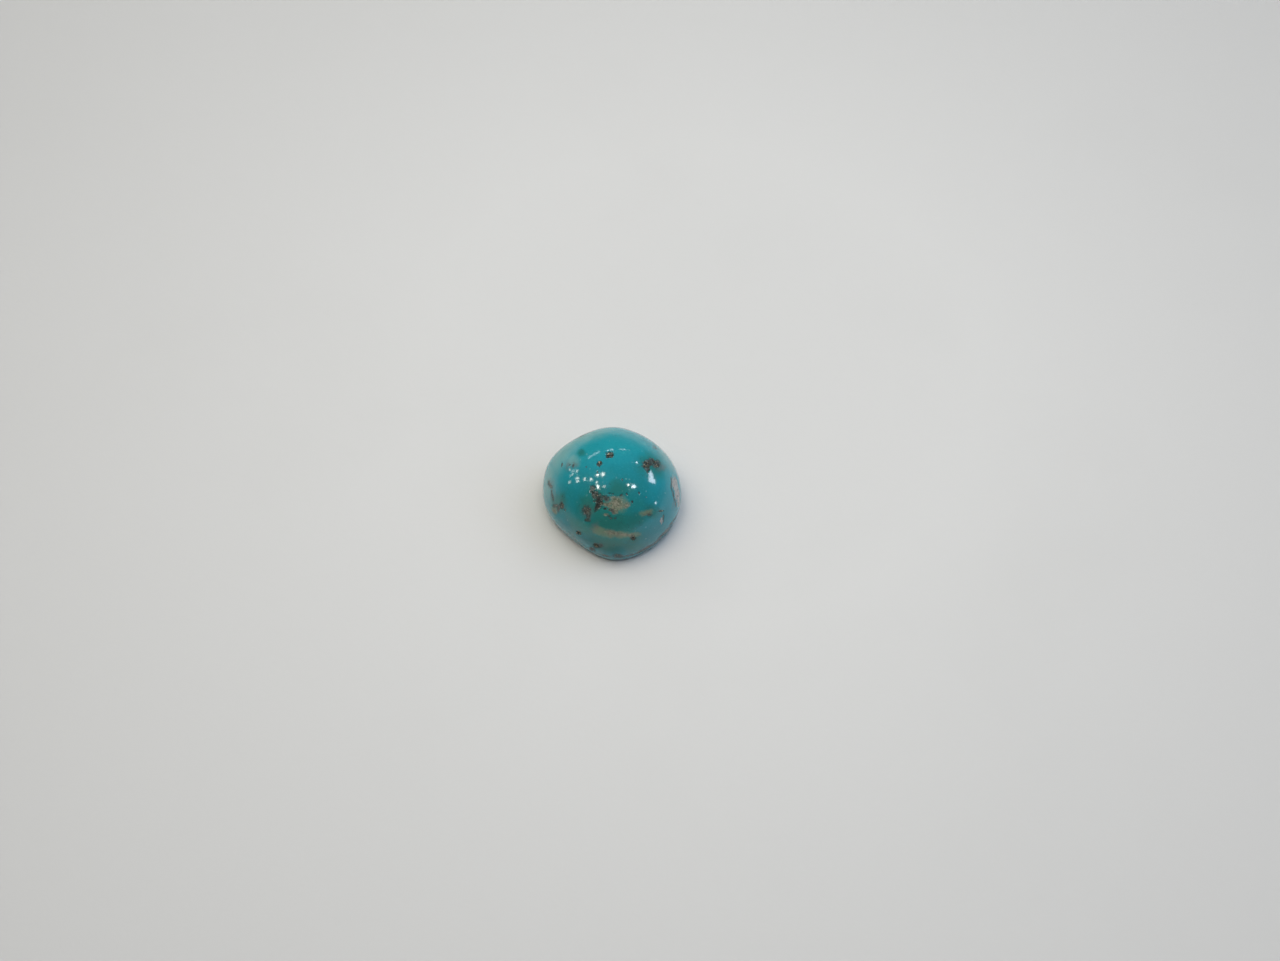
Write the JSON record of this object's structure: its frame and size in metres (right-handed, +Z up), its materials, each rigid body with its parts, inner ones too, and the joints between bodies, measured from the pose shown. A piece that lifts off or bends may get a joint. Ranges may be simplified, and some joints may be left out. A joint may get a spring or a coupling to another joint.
{
  "type": "polished turquoise cabochon",
  "caption": "Small natural turquoise stone ground and polished to a high oval dome on a flat base, with brown and tan matrix, fine pits and pyrite grains.",
  "frame": {"origin": "middle of the outline on the flat base the stone rests on", "axes": "+X along the stone's longest width, +Z up from the flat base to the top of the dome"},
  "size_m": [0.013, 0.0128, 0.0079],
  "materials": {
    "turquoise_stone": "polished"
  },
  "bodies": {
    "root": {"turquoise_stone": "turquoise_stone"}
  },
  "joints": []
}
